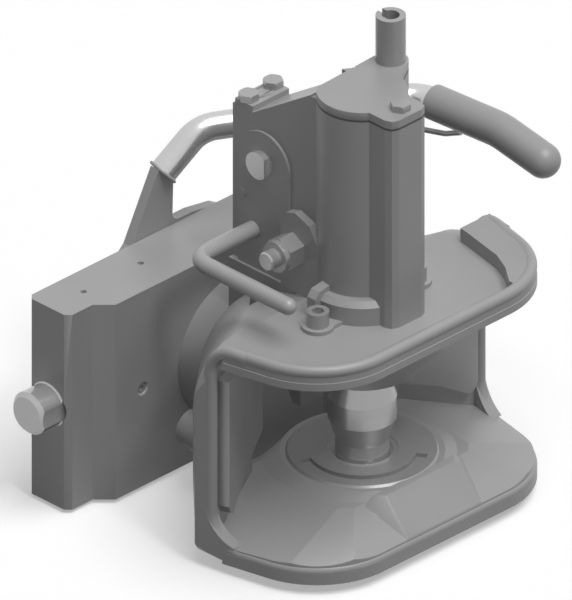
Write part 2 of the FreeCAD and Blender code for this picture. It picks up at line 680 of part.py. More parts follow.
def jaw_casting():
    """Cast funnel jaw: two rimmed lips, side walls, throat, neck with flange, and the swivel shank."""
    envelope = jaw_envelope()
    solid = envelope.cut([mouth_cut(), throat_cut()])
    edge = lip_slab(bead_low, S.lip_front_top + OVERLAP, 0, 0).cut(
        lip_slab(bead_low - OVERLAP, S.lip_front_top + 2, BEAD_RADIUS, OVERLAP))
    solid = solid.cut(edge)
    ramps = funnel(S.lip_front_top - 0.5, 2 * BEAD_RADIUS, S.disc_top - 1.5, S.disc_radius + 4)
    roof = funnel(S.upper_lip_low + 0.5, 2 * BEAD_RADIUS, S.guide_boss_low, S.guide_boss_radius)
    rim = lip_slab(S.upper_lip_low, bead_high, 1, 4)
    rim = rim.cut(lip_slab(S.tray_floor, SIDE, 2 * BEAD_RADIUS - 1, 8))
    wing_plan = [(102, 6), (101, -2), (93.4, -38.5), (86, -54), (74, -70), (74, -SIDE), (SIDE, -SIDE),
                 (SIDE, 6)]
    wing = lip_slab(S.tray_floor - OVERLAP, S.upper_lip_high - OVERLAP, 3, 6)
    wing = wing.common(prism(wing_plan, 0, SIDE))
    thread_start = shank_shoulder - OVERLAP
    thread_end = shank_shoulder + S.shank_thread_length
    neck_fillet = Vector(0, flange_front - 14, 0)
    added = [ramps.common(envelope), roof.common(envelope), rim, wing,
             pipe_along(rim_path(bead_high, -13), BEAD_RADIUS),
             pipe_along(rim_path(bead_low, -13), BEAD_RADIUS),
             wall_rim(-1), wall_rim(1),
             slab(PEDESTAL_LEFT, PEDESTAL_RIGHT, 40, S.box_back, 45, S.tray_floor),
             rod(S.flange_radius, (0, flange_front, 0), (0, slider_front - 0.2, 0)),
             Part.makeCone(S.neck_radius + 12, S.neck_radius, 12, neck_fillet, Vector(0, 1, 0)),
             rod(S.neck_radius, (0, flange_front - 14.3, 0), (0, flange_front + OVERLAP, 0)),
             rod(S.shank_radius, (0, slider_front - OVERLAP, 0), (0, shank_shoulder, 0)),
             rod(S.shank_thread_radius, (0, thread_start, 0), (0, thread_end, 0))]
    removed = [Part.makeCylinder(S.throat_half, S.guide_boss_low - S.disc_top, Vector(0, 0, S.disc_top)),
               Part.makeCylinder(S.disc_radius + 0.1, 30, Vector(0, 0, S.seat_level)),
               Part.makeCylinder(S.lower_bush_radius + 0.05, 100, Vector(0, 0, S.lip_bottom + 2.7)),
               Part.makeCylinder(22, 100, Vector(0, 0, S.lip_bottom - 50)),
               Part.makeCylinder(S.upper_bush_radius + 0.05, 100, Vector(0, 0, S.guide_boss_low - OVERLAP)),
               rod(SPLIT_PIN_RADIUS + 0.2, (-40, slot_middle, 0), (40, slot_middle, 0)),
               slab(trigger_middle - trigger_slot_half, trigger_middle + trigger_slot_half, 26, 75, 30, 120)]
    for x, y in TOWER_SCREWS:
        removed.append(Part.makeCylinder(S.m10_radius + S.running_fit, 24, Vector(x, y, S.tray_floor - 22)))
    for side in (-1, 1):
        at = side * BOLT_X
        added.append(rod(BOLT_HEAD_RADIUS + 1, (at, bolt_seat - 38, BOLT_Z), (at, bolt_seat, BOLT_Z)))
        removed.append(rod(BOLT_RADIUS + S.running_fit, (at, bolt_seat - BOLT_LENGTH - 2, BOLT_Z),
                           (at, bolt_seat + OVERLAP, BOLT_Z)))
        removed.append(rod(BOLT_HEAD_RADIUS + 0.5, (at, bolt_seat, BOLT_Z),
                           (at, bolt_seat + BOLT_HEAD_HEIGHT, BOLT_Z)))
    for shape in added:
        solid = solid.fuse(shape)
    for shape in removed:
        solid = solid.cut(shape)
    return solid


TOWER_SCREWS = [(-52.2, -8.7), (40, -12), (27, 88)]
shape_piece("jaw_casting", jaw_casting())

# Wear parts: disc and bush round the pin's foot, guide bush above, two slanted plates


def wear_disc():
    """Hardened disc with a dirt channel over part of its face."""
    disc = Part.makeCylinder(S.disc_radius, S.disc_top - S.seat_level, Vector(0, 0, S.seat_level))
    channel = Part.makeCylinder(46, 5, Vector(0, 0, S.disc_top - 3), Vector(0, 0, 1), 150)
    channel = channel.cut(Part.makeCylinder(38, 20, Vector(0, 0, S.disc_top - 10)))
    channel.rotate(Vector(), Vector(0, 0, 1), 155)
    bore = Part.makeCylinder(S.lower_bush_radius + 0.05, 20, Vector(0, 0, S.seat_level - OVERLAP))
    bevel = Part.makeCylinder(S.disc_radius + 5, 3, Vector(0, 0, S.disc_top - 1.5)).cut(
        Part.makeCone(S.disc_radius, S.disc_radius - 3, 3, Vector(0, 0, S.disc_top - 1.5)))
    return disc.cut([channel, bore, bevel])


shape_piece("wear_disc", wear_disc())

bush_top = S.disc_top - 0.4
bush_foot = S.lip_bottom + 2.7
turned("lower_bush", [(S.pin_foot_radius + 0.1, bush_foot), (S.lower_bush_radius, bush_foot),
                      (S.lower_bush_radius, bush_top), (S.pin_foot_radius + 2.6, bush_top),
                      (S.pin_foot_radius + 0.1, bush_top - 2.5)])
turned("guide_bush", [(S.barrel_radius + 0.1, S.guide_boss_low), (S.upper_bush_radius, S.guide_boss_low),
                      (S.upper_bush_radius, S.tray_floor), (S.barrel_radius + 0.1, S.tray_floor)])


def wear_plate(side, bottoms):
    """Bolted-in plate on the slanted back wall: its lower edge follows the ramp below."""
    top = 65.8
    points = [(0, top), (0, bottoms[0] + 8), (3, bottoms[0] + 2), (7, bottoms[0])]
    points += [(PLATE_LENGTH / 2, bottoms[1]), (PLATE_LENGTH, bottoms[2]), (PLATE_LENGTH, top)]
    corners = [plate_start + plate_along * s + Vector(0, 0, z) for s, z in points]
    plate = polygon_face(corners).extrude(plate_normal * S.wear_plate_thick)
    room = funnel(S.upper_lip_low - 2, S.lip_rim + 2, S.guide_boss_low - 2, S.guide_boss_radius + 2)
    plate = plate.cut(room)
    return plate.mirror(Vector(), Vector(1, 0, 0)) if side < 0 else plate


shape_piece("left_wear_plate", wear_plate(-1, (-42, -19, -2)))
shape_piece("right_wear_plate", wear_plate(1, (-41, -30, -21)))


def stop_bolt(side):
    at = side * BOLT_X
    dome_start = bolt_seat + BOLT_HEAD_HEIGHT - 2
    head = rod(BOLT_HEAD_RADIUS, (at, bolt_seat, BOLT_Z), (at, dome_start, BOLT_Z))
    dome = Part.makeCone(BOLT_HEAD_RADIUS, BOLT_HEAD_RADIUS - 3, 2, Vector(at, dome_start, BOLT_Z),
                         Vector(0, 1, 0))
    thread = rod(BOLT_RADIUS, (at, bolt_seat - BOLT_LENGTH, BOLT_Z), (at, bolt_seat + OVERLAP, BOLT_Z))
    return head.fuse([dome, thread])


shape_piece("stop_bolts", Part.makeCompound([stop_bolt(-1), stop_bolt(1)]))

# Coupling pin: crowned barrel, slim neck and foot, with a slot at the rear for the lifting arm

arm_length = 82.5
lift_swing = math.radians(S.lift_swing)
tip_y = S.lift_y - arm_length * math.cos(lift_swing)
tip_z = S.lift_z - arm_length * math.sin(lift_swing)


def coupling_pin():
    profile = [(0, S.pin_foot_end), (S.pin_foot_radius - 2, S.pin_foot_end),
               (S.pin_foot_radius, S.pin_foot_end + 2),
               (S.pin_foot_radius, S.pin_foot_top), (S.barrel_radius, S.barrel_low),
               (S.barrel_radius, S.barrel_high), (S.pin_neck_radius, S.pin_neck_low),
               (S.pin_neck_radius, S.pin_neck_high), (S.barrel_radius, S.pin_neck_high + 6),
               (S.barrel_radius, S.pin_top - 2), (S.barrel_radius - 2, S.pin_top), (0, S.pin_top)]
    pin = polygon_face([Vector(r, 0, z) for r, z in profile]).revolve(Vector(), Vector(0, 0, 1), 360)
    half = S.lift_tip_radius + 1.2
    slot = [(-15, -half), (6, -half), (26, -half - 13), (26, half + 13), (6, half), (-15, half)]
    slot = side_prism([(y, tip_z + z) for y, z in slot], -S.lift_arm_half - 0.3, S.lift_arm_half + 0.3)
    return pin.cut(slot)


shape_piece("coupling_pin", coupling_pin())

# Mechanism housing on the jaw


def front_outline(z0, z1):
    """Front part of the housing in plan: round body, flat nose and the wing that carries the cable tube."""
    nose = [(S.nose_left, 0), (S.nose_left, S.nose_front + 7), (S.nose_left + 2, S.nose_front + 2),
            (S.nose_left + 7, S.nose_front), (S.nose_right - 7, S.nose_front),
            (S.nose_right - 2, S.nose_front + 2),
            (S.nose_right, S.nose_front + 7), (S.nose_right, 0)]
    wing = [(20, -12), (32, -5.8), (44.9, 2.1), (50, 5), (55, 14), (52, 25), (39.2, 27.4), (20, 40)]
    body = Part.makeCylinder(S.tower_radius, z1 - z0, Vector(0, 0, z0))
    lug = Part.makeCylinder(S.wing_radius, z1 - z0, Vector(S.tube_x, S.tube_y, z0))
    return body.fuse([prism(nose, z0, z1), prism(wing, z0, z1), lug])


box_inner_left = S.box_left + S.box_wall
box_inner_right = S.box_right - S.box_wall
box_roof_high = S.tower_top + 1.4
roof_front = 27.4
pad_face = -24
PAD_RADIUS = 25
PAD_MIDDLE_Y = 73
COVER_BOLT = (0, -37.5)
LID_BOLTS = [(-16.4, 95), (8.6, 96)]
STOP_PIN = (94, 143.4)
WASHER_LEVEL = 91


def tower_housing():
    """Cast housing: bore for the pin, gear box behind it, wing for the remote cable and a screwed foot."""
    floor = S.tray_floor
    body = front_outline(floor, S.tower_top)
    roof = [(20, floor), (S.box_back, floor), (S.box_back, S.box_roof_low), (S.box_roof_back, S.box_roof_low),
            (roof_front + 0.6, box_roof_high), (roof_front + 0.6, S.tower_top), (20, S.tower_top)]
    body = body.fuse(side_prism(roof, S.box_left, S.box_right))
    arch = slab(pad_face, S.box_left + OVERLAP, PAD_MIDDLE_Y - PAD_RADIUS, PAD_MIDDLE_Y + PAD_RADIUS,
                floor, S.lift_z)
    arch = arch.fuse(rod(PAD_RADIUS, (pad_face, PAD_MIDDLE_Y, S.lift_z),
                         (S.box_left + OVERLAP, PAD_MIDDLE_Y, S.lift_z)))
    boss = side_prism([(15, floor), (52, floor), (52, 140), (47, 148), (38, 151), (24, 146), (15, 132)],
                      S.boss_face, S.box_left + OVERLAP)
    collar = Part.makeCylinder(41, 14, Vector(0, 0, floor)).fuse(
        Part.makeCone(41, 37, 4, Vector(0, 0, floor + 14)))
    collar = collar.common(slab(-60, S.nose_left + 4, -60, 0, floor, floor + 30))
    ears = []
    for x, y in TOWER_SCREWS:
        ears.append(Part.makeCylinder(11.5, WASHER_LEVEL - floor, Vector(x, y, floor)))
    ears.append(slab(-52.2, -20, -8.7 - 9, 4, floor, WASHER_LEVEL))
    ears.append(slab(20, 40, -21, 4, floor, WASHER_LEVEL))
    ears.append(slab(10, 27, 79, 97, floor, WASHER_LEVEL))
    gusset = front_prism([(-46, floor), (-20, floor), (-20, 112), (-42, 109), (-46, 104)], 0, 8)
    stop = rod(3.5, (S.box_left - 2.5, STOP_PIN[0], STOP_PIN[1]),
               (S.box_left + OVERLAP, STOP_PIN[0], STOP_PIN[1]))
    body = body.fuse([arch, boss, collar, gusset, stop] + ears)
    bore = Part.makeCylinder(S.barrel_radius + S.loose_fit, 300, Vector(0, 0, floor - OVERLAP))
    inner = [(roof_front, floor - OVERLAP), (S.box_back - S.box_wall, floor - OVERLAP),
             (S.box_back - S.box_wall, S.box_roof_low - 5), (S.box_roof_back - 2, S.box_roof_low - 5),
             (roof_front, S.tower_top - 6)]
    cavity = side_prism(inner, box_inner_left, box_inner_right)
    corners = [Part.makeCylinder(7, 40, Vector(x, y, 190)) for x, y in LID_BOLTS]
    cavity = cavity.cut(corners[0].fuse(corners[1]))
    window = slab(-S.lift_arm_half - 0.6, S.lift_arm_half + 0.6, 0, roof_front + 2, 118, 232)
    cable_room = slab(25, 48.5, 8, 45, 128, 230).fuse(slab(25, 35, 3, 45, 128, 230))
    cuts = [bore, cavity, window, cable_room,
            slab(-10, 2, 87.5, 98.9, 200, 220),
            Part.makeCylinder(S.tube_bore_radius, 60, Vector(S.tube_x, S.tube_y, 225)),
            Part.makeCylinder(S.m8_radius + 0.05, 30,
                              Vector(COVER_BOLT[0], COVER_BOLT[1], S.tower_top - 20)),
            rod(S.lift_shaft_radius + S.running_fit, (-SIDE, S.lift_y, S.lift_z), (20, S.lift_y, S.lift_z)),
            rod(S.rod_radius + S.running_fit, (-SIDE, S.hand_y, S.hand_z),
                (box_inner_right + 5, S.hand_y, S.hand_z)),
            rod(S.trigger_stud_radius + 0.05, (-SIDE, S.trigger_y, S.trigger_z),
                (box_inner_left + OVERLAP, S.trigger_y, S.trigger_z))]
    for x, y in LID_BOLTS:
        cuts.append(Part.makeCylinder(S.m8_radius + 0.05, 30, Vector(x, y, 194)))
    for x, y in TOWER_SCREWS:
        cuts.append(Part.makeCylinder(S.m10_radius + S.loose_fit, 30, Vector(x, y, floor - OVERLAP)))
        cuts.append(Part.makeCylinder(S.m10_head_radius + 0.4, 60, Vector(x, y, WASHER_LEVEL)))
    return body.cut(cuts)


shape_piece("tower_housing", tower_housing())

gasket_top = S.tower_top + S.gasket_thick
cover_top = gasket_top + S.cover_thick


def cover_layer(z0, z1, bolt_hole, tube_hole):
    """A layer on top of the housing, cut off straight behind the round body."""
    behind = prism([(-60, 23.4), (-22, 25), (39, 27.7), (70, 29), (70, 60), (-60, 60)], z0 - 1, z1 + 1)
    layer = front_outline(z0, z1).cut(behind)
    return layer.cut([Part.makeCylinder(bolt_hole, 60, Vector(COVER_BOLT[0], COVER_BOLT[1], z0 - 20)),
                      Part.makeCylinder(tube_hole, 60, Vector(S.tube_x, S.tube_y, z0 - 20))])


shape_piece("cover_gasket", cover_layer(S.tower_top, gasket_top, S.m8_radius + 0.3, S.tube_bore_radius))
shape_piece("tower_cover", cover_layer(gasket_top, cover_top, S.m8_radius + 0.3, S.tube_radius + 0.05))


def cable_tube():
    """Socket for the remote cable, slotted at its rim so that the cable end can be slipped in."""
    top = cover_top + S.tube_height
    tube = Part.makeCylinder(S.tube_radius, top - gasket_top, Vector(S.tube_x, S.tube_y, gasket_top))
    tube = tube.cut(Part.makeCylinder(S.tube_bore_radius, 80, Vector(S.tube_x, S.tube_y, gasket_top - 5)))
    return tube.cut(slab(S.tube_x - 2, S.tube_x + 2, S.tube_y, S.tube_y + 20, top - 6, top + OVERLAP))


shape_piece("cable_tube", cable_tube())


def hex_bolt(x, y, seat, length):
    head = placed(hexagon(S.m8_head_flats, S.m8_head_height), x, y, seat)
    crown = Part.makeCone(9.4, S.m8_head_flats / 2 - 0.3, S.m8_head_height + 1.6, Vector(x, y, seat))
    return head.common(crown).fuse(Part.makeCylinder(S.m8_radius, length + 1, Vector(x, y, seat - length)))


shape_piece("cover_bolt", hex_bolt(COVER_BOLT[0], COVER_BOLT[1], cover_top, 24))
lid_top = S.box_roof_low + S.lid_thick


def rear_lid():
    lid = slab(S.box_left, S.box_right, 85.5, 103, S.box_roof_low, lid_top)
    return lid.cut([Part.makeCylinder(S.m8_radius + 0.3, 20, Vector(x, y, 200)) for x, y in LID_BOLTS])


shape_piece("rear_lid", rear_lid())
shape_piece("lid_bolts", Part.makeCompound([hex_bolt(x, y, lid_top, 18) for x, y in LID_BOLTS]))


def socket_screw(x, y):
    head_top = WASHER_LEVEL + S.m10_head_height
    screw = Part.makeCylinder(S.m10_head_radius, S.m10_head_height, Vector(x, y, WASHER_LEVEL))
    screw = screw.fuse(Part.makeCylinder(S.m10_radius, 24, Vector(x, y, WASHER_LEVEL - 23)))
    return screw.cut(placed(hexagon(8, 7), x, y, head_top - 5))


shape_piece("tower_screws", Part.makeCompound([socket_screw(x, y) for x, y in TOWER_SCREWS]))

# Lifting gear: shaft, arm into the pin, latch cam and arm for the remote cable

arm_turn = math.pi + lift_swing


def lever_outline(middle, spots):
    """Plate outline as prisms between round ends: spots are (y, z, radius)."""
    shapes = []
    for (y0, z0, r0), (y1, z1, r1) in zip([middle] + spots[:-1], spots):
        along = Vector(0, y1 - y0, z1 - z0).normalize()
        across = Vector(0, -along.z, along.y)
        corners = [Vector(0, y0, z0) + across * r0, Vector(0, y1, z1) + across * r1,
                   Vector(0, y1, z1) - across * r1, Vector(0, y0, z0) - across * r0]
        shapes.append([(point.y, point.z) for point in corners])
    return shapes


def lever(x0, x1, middle, spots, bore):
    """Flat lever between x0 and x1: round hub with round-ended limbs and a bore."""
    body = rod(middle[2], (x0, middle[0], middle[1]), (x1, middle[0], middle[1]))
    for outline in lever_outline(middle, spots):
        body = body.fuse(side_prism(outline, x0, x1))
    for y, z, radius in spots:
        body = body.fuse(rod(radius, (x0, y, z), (x1, y, z)))
    return body.cut(rod(bore, (x0 - OVERLAP, middle[0], middle[1]), (x1 + OVERLAP, middle[0], middle[1])))


link_dy = S.link_arm * math.cos(arm_turn)
link_dz = S.link_arm * math.sin(arm_turn)
link_high = (S.lift_y + link_dy, S.lift_z + link_dz)
link_low = (S.hand_y + link_dy, S.hand_z + link_dz)
PIN_REACH = 7.9


def lift_shaft():
    """Cross shaft with a flat on its outer end."""
    shaft = rod(S.lift_shaft_radius, (-29, S.lift_y, S.lift_z), (36, S.lift_y, S.lift_z))
    return shaft.cut(slab(-30, -24.3, S.lift_y - 20, S.lift_y - 7.5, S.lift_z - 20, S.lift_z + 20))


shape_piece("lift_shaft", lift_shaft())


def lift_arm():
    middle = (S.lift_y, S.lift_z, 16)
    near_tip = (S.lift_y + 62 * math.cos(arm_turn), S.lift_z + 62 * math.sin(arm_turn), 5)
    arm = lever(-S.lift_arm_half, S.lift_arm_half, middle, [near_tip, (tip_y, tip_z, 5)],
                S.lift_shaft_radius + 0.05)
    tip = rod(S.lift_tip_radius, (-S.lift_arm_half, tip_y, tip_z), (S.lift_arm_half, tip_y, tip_z))
    pin_hole = rod(S.link_pin_radius + 0.05, (-20, *link_high), (20, *link_high))
    return arm.fuse(tip).cut(pin_hole)


shape_piece("lift_arm", lift_arm())
shape_piece("lift_link_pin", rod(S.link_pin_radius, (-S.lift_arm_half, *link_high), (PIN_REACH, *link_high)))


def latch_cam():
    cam = rod(20, (-15.5, S.lift_y, S.lift_z), (-5, S.lift_y, S.lift_z))
    notch = side_prism([(S.lift_y - 22, S.lift_z + 2), (S.lift_y - 13, S.lift_z + 3),
                        (S.lift_y - 14, S.lift_z + 10), (S.lift_y - 24, S.lift_z + 12)], -16, -4)
    bore = rod(S.lift_shaft_radius + 0.05, (-16, S.lift_y, S.lift_z), (-4, S.lift_y, S.lift_z))
    return cam.cut([notch, bore])


shape_piece("latch_cam", latch_cam())
remote_length = 62.5
remote_y = S.tube_y
remote_z = S.lift_z - math.sqrt(remote_length ** 2 - (S.lift_y - remote_y) ** 2)
remote = lever(27, 33, (S.lift_y, S.lift_z, 15), [(remote_y, remote_z, 7)], S.lift_shaft_radius + 0.05)
remote_eye = rod(S.link_pin_radius + 0.05, (20, remote_y, remote_z), (40, remote_y, remote_z))
shape_piece("remote_arm", remote.cut(remote_eye))
shape_piece("cable_anchor", rod(S.link_pin_radius, (27, remote_y, remote_z), (47, remote_y, remote_z)))

# Hand lever with its crank, spring and link


def hand_rod():
    """Bent round bar: shaft across the housing, then forward as the handle."""
    corner = Vector(-S.rod_reach, S.hand_y, S.hand_z)
    path = rounded_path([Vector(12, S.hand_y, S.hand_z), corner, Vector(-S.rod_reach, S.rod_front, S.hand_z)],
                        [S.rod_bend])
    bar = pipe_along(path, S.rod_radius)
    return bar.fuse(Part.makeSphere(S.rod_radius, Vector(-S.rod_reach, S.rod_front, S.hand_z)))


shape_piece("hand_lever", hand_rod())
crank = lever(-S.lift_arm_half, S.lift_arm_half, (S.hand_y, S.hand_z, 11), [(link_low[0], link_low[1], 8)],
              S.rod_radius + 0.05)
crank_pin_hole = rod(S.link_pin_radius + 0.05, (-20, *link_low), (20, *link_low))
shape_piece("lever_crank", crank.cut(crank_pin_hole))
shape_piece("crank_link_pin", rod(S.link_pin_radius, (-S.lift_arm_half, *link_low), (PIN_REACH, *link_low)))
LINK_HALF = 6.2
link_side = S.lift_arm_half + 0.4
link = lever(link_side, link_side + S.link_thick, (link_low[0], link_low[1], LINK_HALF),
             [(link_high[0], link_high[1], LINK_HALF)], S.link_pin_radius + S.running_fit)
link_hole = rod(S.link_pin_radius + S.running_fit, (-20, *link_high), (20, *link_high))
shape_piece("link_plate", link.cut(link_hole))
coil_start = box_inner_left
shape_piece("closing_spring", spring(11, 3.2, 10, 2.6,
                                     Placement(Vector(coil_start, S.hand_y, S.hand_z), TO_X)))

# Trigger that the towing eye pushes, on its own stud with a nut outside


def trigger_lever():
    middle = (S.trigger_y, S.trigger_z, 12)
    body = lever(-15.7, -5, middle, [(S.trigger_tip_y + 8, 70, 9), (S.trigger_tip_y + 3, 14, 7)],
                 S.trigger_stud_radius + S.running_fit)
    finger = side_prism([(36, 132), (48, 126), (60, 157), (54, 161.5)], -15.7, -5)
    blade = side_prism([(35.5, -4), (43, -4), (50, 8), (50, 22), (36, 22)], -25, -4)
    return body.fuse([finger, blade]).cut(rod(20.4, (-20, S.lift_y, S.lift_z), (0, S.lift_y, S.lift_z)))


shape_piece("trigger_lever", trigger_lever())


def trigger_stud():
    stud = rod(S.trigger_stud_radius, (S.trigger_stud_end + 1, S.trigger_y, S.trigger_z),
               (-5, S.trigger_y, S.trigger_z))
    return stud.fuse(Part.makeCone(S.trigger_stud_radius - 1, S.trigger_stud_radius, 1,
                                   Vector(S.trigger_stud_end, S.trigger_y, S.trigger_z), Vector(1, 0, 0)))


shape_piece("trigger_stud", trigger_stud())


def trigger_nut():
    """Long hexagon nut with a turned outer end."""
    outer = S.boss_face - S.trigger_nut_length
    nut = placed(hexagon(23, S.trigger_nut_length), outer, S.trigger_y, S.trigger_z, TO_X)
    crown = Part.makeCone(11.4, 15, S.trigger_nut_length + 8, Vector(outer, S.trigger_y, S.trigger_z),
                          Vector(1, 0, 0))
    collar = rod(14, (S.boss_face - 14, S.trigger_y, S.trigger_z), (S.boss_face, S.trigger_y, S.trigger_z))
    bore = rod(S.trigger_stud_radius + 0.05, (-80, S.trigger_y, S.trigger_z), (0, S.trigger_y, S.trigger_z))
    return nut.common(crown.fuse(collar)).cut(bore)


shape_piece("trigger_nut", trigger_nut())

doc.recompute()
broken = [item.Name for item in doc.Objects if {"Invalid", "Error"} & set(item.State)]
if broken:
    raise RuntimeError("failed objects: " + ", ".join(broken))
for piece in PIECES:
    if piece.Shape.isNull() or not piece.Shape.isValid():
        raise RuntimeError("bad solid: " + piece.Label)
    piece.Shape.exportStep(f"parts/{piece.Label}.step")
    print(piece.Label, len(piece.Shape.Solids), round(piece.Shape.Volume / 1000, 1))
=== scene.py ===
# %% [markdown]
# # A tractor's trailer coupler
# The coupler is a heavy casting that swivels in a sliding plate. Its solids come ready-made from the CAD
# model, and this script dresses them with paint and steel. It adds a weld, the ramps of the lower lip and
# two coil springs, and then a floor, light and a camera. The frame is loaded first, and its box gives the
# level of the floor. Sizes are written in millimetres and multiplied by MM,
# because Blender's scene is in metres.

# %% Load the frame
import json
import math

import bpy
from mathutils import Matrix, Vector

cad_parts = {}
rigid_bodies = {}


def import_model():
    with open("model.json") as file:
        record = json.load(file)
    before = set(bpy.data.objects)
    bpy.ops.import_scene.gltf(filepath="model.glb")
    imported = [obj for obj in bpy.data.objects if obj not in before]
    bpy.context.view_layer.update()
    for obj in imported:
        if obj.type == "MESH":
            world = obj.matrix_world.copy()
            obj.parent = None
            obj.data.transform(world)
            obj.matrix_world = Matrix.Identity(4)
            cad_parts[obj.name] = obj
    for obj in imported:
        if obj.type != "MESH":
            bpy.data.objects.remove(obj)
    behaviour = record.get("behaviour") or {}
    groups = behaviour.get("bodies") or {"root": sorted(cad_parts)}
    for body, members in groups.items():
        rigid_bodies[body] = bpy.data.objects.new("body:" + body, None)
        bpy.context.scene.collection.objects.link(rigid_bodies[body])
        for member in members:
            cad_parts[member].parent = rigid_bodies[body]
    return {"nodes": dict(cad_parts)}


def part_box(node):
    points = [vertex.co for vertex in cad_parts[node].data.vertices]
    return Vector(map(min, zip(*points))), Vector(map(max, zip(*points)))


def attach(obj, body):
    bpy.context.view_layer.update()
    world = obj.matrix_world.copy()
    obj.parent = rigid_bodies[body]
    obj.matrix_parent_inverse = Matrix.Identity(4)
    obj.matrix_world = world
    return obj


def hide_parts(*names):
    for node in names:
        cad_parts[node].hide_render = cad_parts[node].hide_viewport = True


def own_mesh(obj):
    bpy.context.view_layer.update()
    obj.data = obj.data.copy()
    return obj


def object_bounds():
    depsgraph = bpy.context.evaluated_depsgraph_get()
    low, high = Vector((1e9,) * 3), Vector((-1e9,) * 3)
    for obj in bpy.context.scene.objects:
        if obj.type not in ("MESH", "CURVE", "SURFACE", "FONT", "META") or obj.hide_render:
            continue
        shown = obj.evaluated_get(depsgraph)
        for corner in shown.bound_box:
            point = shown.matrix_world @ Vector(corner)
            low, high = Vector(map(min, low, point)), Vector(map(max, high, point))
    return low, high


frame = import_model()
cad_low, cad_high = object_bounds()
nodes = frame["nodes"]
print("pieces from the CAD model:", len(nodes))

MM = 0.001

# %% [markdown]
# ## Shader sums in plain Python
# A material is a net of nodes, and so is the sky. Wiring every Math node by hand is slow to read, so a
# small class wraps one output socket and turns + and * into Math nodes. The other way would be a node
# group for each finish, but sums in plain Python are easier to follow.


# %% A socket that can be added and multiplied
class Amount:
    """A shader number: sums on it add Math nodes to its net."""

    def __init__(self, net, socket):
        self.net = net
        self.socket = socket

    def sum_with(self, operation, other):
        made = self.net.node("ShaderNodeMath", {"operation": operation}, {0: self, 1: other})
        return Amount(self.net, made.outputs[0])

    def __add__(self, other):
        return self.sum_with("ADD", other)

    def __mul__(self, other):
        return self.sum_with("MULTIPLY", other)

    __radd__ = __add__
    __rmul__ = __mul__


# %% A net of nodes
class Net:
    """A tree of shader nodes, with one way to add any node to it."""

    def __init__(self, tree):
        self.tree = tree

    def feed(self, socket, value):
        if isinstance(value, Amount):
            self.tree.links.new(value.socket, socket)
        elif isinstance(value, bpy.types.NodeSocket):
            self.tree.links.new(value, socket)
        else:
            socket.default_value = value

    def node(self, kind, settings=None, sockets=None):
        made = self.tree.nodes.new(kind)
        for name, value in (settings or {}).items():
            setattr(made, name, value)
        for name, value in (sockets or {}).items():
            self.feed(made.inputs[name], value)
        return made


# %% A finish under construction
RELIEF_STRENGTH = 0.6


class Finish(Net):
    """One material: its Principled shader and the patterns that feed it."""

    def __init__(self, name):
        self.material = bpy.data.materials.new(name)
        self.material.use_nodes = True
        super().__init__(self.material.node_tree)
        self.shader = self.tree.nodes["Principled BSDF"]

    def blotches(self, size, detail=3.0, stretch=(1, 1, 1)):
        """Soft noise from 0 to 1 whose patches are about size metres across."""
        place = self.node("ShaderNodeTexCoord").outputs["Object"]
        scaled = self.node("ShaderNodeMapping", None, {"Vector": place, "Scale": stretch}).outputs["Vector"]
        noise = self.node("ShaderNodeTexNoise", None,
                          {"Vector": scaled, "Scale": 1 / size, "Detail": detail})
        return Amount(self, noise.outputs["Fac"])

    def between(self, mask, dark, light):
        """Colour that runs from dark to light as mask runs from 0 to 1."""
        mix = self.node("ShaderNodeMix", {"data_type": "RGBA"}, {0: mask, 6: (*dark, 1), 7: (*light, 1)})
        return mix.outputs[2]

    def relief(self, height, depth):
        """Normal of a fine relief, depth metres deep."""
        bump = self.node("ShaderNodeBump", None,
                         {"Height": height, "Distance": depth, "Strength": RELIEF_STRENGTH})
        return bump.outputs["Normal"]

    def finish(self, **sockets):
        for name, value in sockets.items():
            self.feed(self.shader.inputs[name.replace("_", " ")], value)
        return self.material


# %% Helpers for colours
def grey(level):
    return (level, level, level)


def shade(colour, factor):
    return tuple(min(1.0, part * factor) for part in colour)


print("a light and a dark shade of mid grey:", shade(grey(0.5), 1.1), shade(grey(0.5), 0.9))


# %% [markdown]
# ## Painted castings
# The jaw and the housing are sand castings under a coat of grey paint. Paint fills the sand's grain but
# doesn't hide it, so the relief is shallow and the patches in colour are faint. A flat colour alone would
# look like plastic.

# %% Cast and plate paint
MACHINE_GREY = grey(0.36)
ROD_GREY = grey(0.4)
PATCH_SIZE = 50 * MM
PATCH_CONTRAST = 0.06
GRAIN_DETAIL = 2.0
PAINT_GLOSS_SWING = 0.12


def painted(name, colour, grain_size, grain_depth, roughness):
    """A dull skin: faint patches in the colour, and a grain of the given size and depth in metres."""
    paint = Finish(name)
    patches = paint.blotches(PATCH_SIZE)
    grain = paint.blotches(grain_size, GRAIN_DETAIL)
    dark = shade(colour, 1 - PATCH_CONTRAST)
    light = shade(colour, 1 + PATCH_CONTRAST)
    return paint.finish(Base_Color=paint.between(patches, dark, light),
                        Roughness=patches * PAINT_GLOSS_SWING + (roughness - PAINT_GLOSS_SWING / 2),
                        Normal=paint.relief(grain, grain_depth))


cast_paint = painted("painted casting", MACHINE_GREY, 3.5 * MM, 0.12 * MM, roughness=0.42)
plate_paint = painted("painted plate", MACHINE_GREY, 2 * MM, 0.04 * MM, roughness=0.38)
tube_paint = painted("painted rod", ROD_GREY, 2 * MM, 0.03 * MM, roughness=0.3)
print("paints:", cast_paint.name, plate_paint.name, tube_paint.name)

# %% [markdown]
# ## Bare steel
# Pins, bushes and wear plates are turned or ground, so they keep fine tool marks that run one way. Noise
# that is slowed down along an axis draws out into such lines. A picture of scratches would repeat and
# would need its own map.

